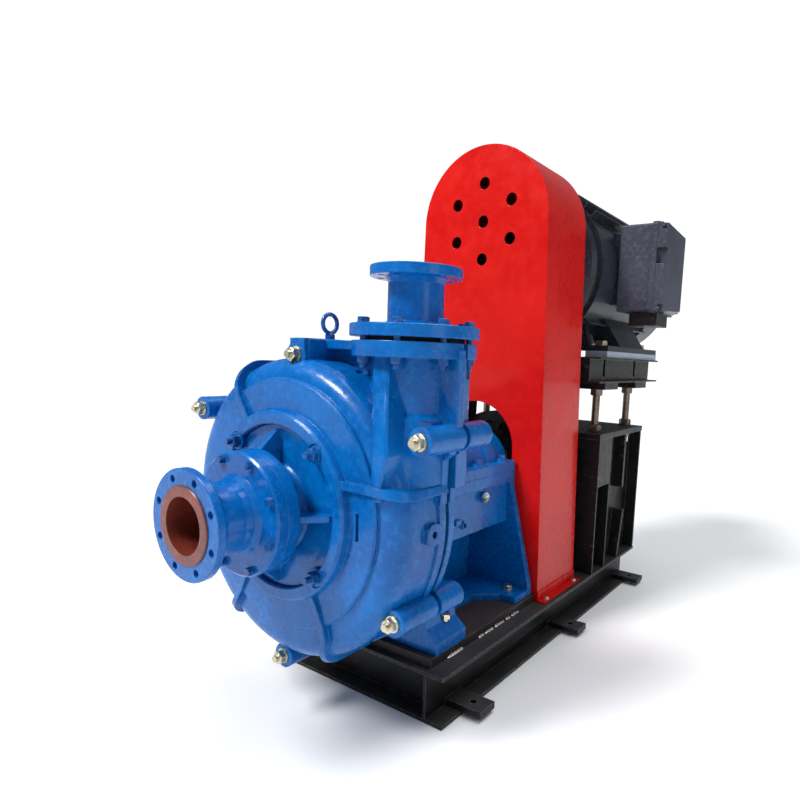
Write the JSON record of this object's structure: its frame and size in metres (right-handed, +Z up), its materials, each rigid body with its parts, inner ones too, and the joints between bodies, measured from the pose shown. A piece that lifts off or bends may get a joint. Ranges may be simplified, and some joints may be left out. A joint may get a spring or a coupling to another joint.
{
  "type": "slurry pump",
  "caption": "Belt driven horizontal centrifugal slurry pump with split volute casing, bearing bracket, arched belt guard and motor on a raised stand over a channel skid.",
  "frame": {"origin": "on the floor under the shaft, at the middle of the skid's length, on the underside of the middle cross channel", "axes": "+Z up, suction branch faces -Y, drive and motor towards +Y, discharge branch and terminal box on the +X side"},
  "size_m": [0.9229, 2.366, 1.7118],
  "materials": {
    "blue_cast": "gloss enamel over a rough casting",
    "blue_machined": "gloss enamel over machined faces",
    "blue_fastener": "gloss enamel",
    "zinc_fastener": "yellowish zinc",
    "red_guard": "gloss enamel on sheet",
    "black_frame": "satin, scuffed edges",
    "brown_deck": "dull primer",
    "dark_steel": "lightly oxidised",
    "motor_grey": "satin",
    "box_grey": "satin",
    "foot_grey": "satin",
    "bright_steel": "ground",
    "hard_iron": "as cast",
    "liner_red": "moulded, satin",
    "pulley_black": "painted",
    "belt_rubber": "matt",
    "bronze": "turned",
    "packing_grey": "braided fibre",
    "lamination": "stacked sheet",
    "gauge_glass": "clear",
    "seal_black": "matt"
  },
  "bodies": {
    "pump_base": {"suction_spool": "blue_machined", "suction_liner": "liner_red", "suction_bolts": "blue_fastener", "suction_cover": "blue_cast", "cover_studs": "blue_fastener", "front_casing": "blue_cast", "rear_casing": "blue_cast", "casing_gasket": "seal_black", "casing_bolts": "zinc_fastener", "eye_bolt": "blue_fastener", "volute_liner": "hard_iron", "front_liner_plate": "hard_iron", "rear_liner_plate": "hard_iron", "discharge_spool": "blue_machined", "discharge_liner": "liner_red", "discharge_bolts": "blue_fastener", "stuffing_box": "hard_iron", "packing_rings": "packing_grey", "lantern_ring": "bronze", "gland_studs": "bright_steel", "bearing_bracket": "blue_cast", "bearing_housing_cover": "blue_cast", "housing_bolts": "blue_fastener", "bearing_cartridge": "blue_machined", "bearing_covers": "blue_machined", "pump_bearing_outer_races": "bright_steel", "oil_gauge": "gauge_glass", "base_bolts": "zinc_fastener", "v_belts": "belt_rubber", "belt_guard": "red_guard", "skid_frame": "black_frame", "deck_plate": "brown_deck", "motor_stand": "black_frame", "threaded_rods": "dark_steel", "stand_nuts": "dark_steel"},
    "pump_rotor": {"pump_shaft": "bright_steel", "shaft_sleeve": "bright_steel", "impeller": "hard_iron", "expeller": "hard_iron", "pump_pulley": "pulley_black", "pump_bearing_inner_races": "bright_steel"},
    "gland": {"packing_gland": "bronze", "gland_nuts": "bright_steel"},
    "motor_platform": {"platform_frame": "black_frame", "platform_nuts": "dark_steel", "motor_base_plates": "foot_grey", "motor_frame": "motor_grey", "motor_end_shields": "motor_grey", "motor_stator": "lamination", "motor_bearing_outer_races": "bright_steel", "fan_cowl": "motor_grey", "terminal_box": "box_grey", "terminal_box_lid": "box_grey", "gland_block": "pulley_black", "motor_bolts": "zinc_fastener"},
    "motor_rotor": {"motor_shaft": "bright_steel", "motor_pulley": "pulley_black", "motor_rotor_core": "lamination", "cooling_fan": "pulley_black", "motor_bearing_inner_races": "bright_steel"}
  },
  "joints": [
    {"name": "motor_platform_lift", "type": "slide", "parent": "pump_base", "child": "motor_platform", "axis": [0, 0, 1], "range_m": [-0.025, 0.03], "deforming": ["v_belts"]},
    {"name": "motor_rotor_spin", "type": "hinge", "parent": "motor_platform", "child": "motor_rotor", "pos_m": [0, 0.172, 1.347], "axis": [0, 1, 0], "continuous": true},
    {"name": "pump_rotor_spin", "type": "hinge", "parent": "pump_base", "child": "pump_rotor", "pos_m": [0, -0.3, 0.605], "axis": [0, 1, 0], "continuous": true},
    {"name": "gland_take_up", "type": "slide", "parent": "pump_base", "child": "gland", "axis": [0, 1, 0], "range_m": [0, 0.025]}
  ],
  "couplings": [
    {"joint": "pump_rotor_spin", "follows": "motor_rotor_spin", "ratio": 0.78873}
  ]
}
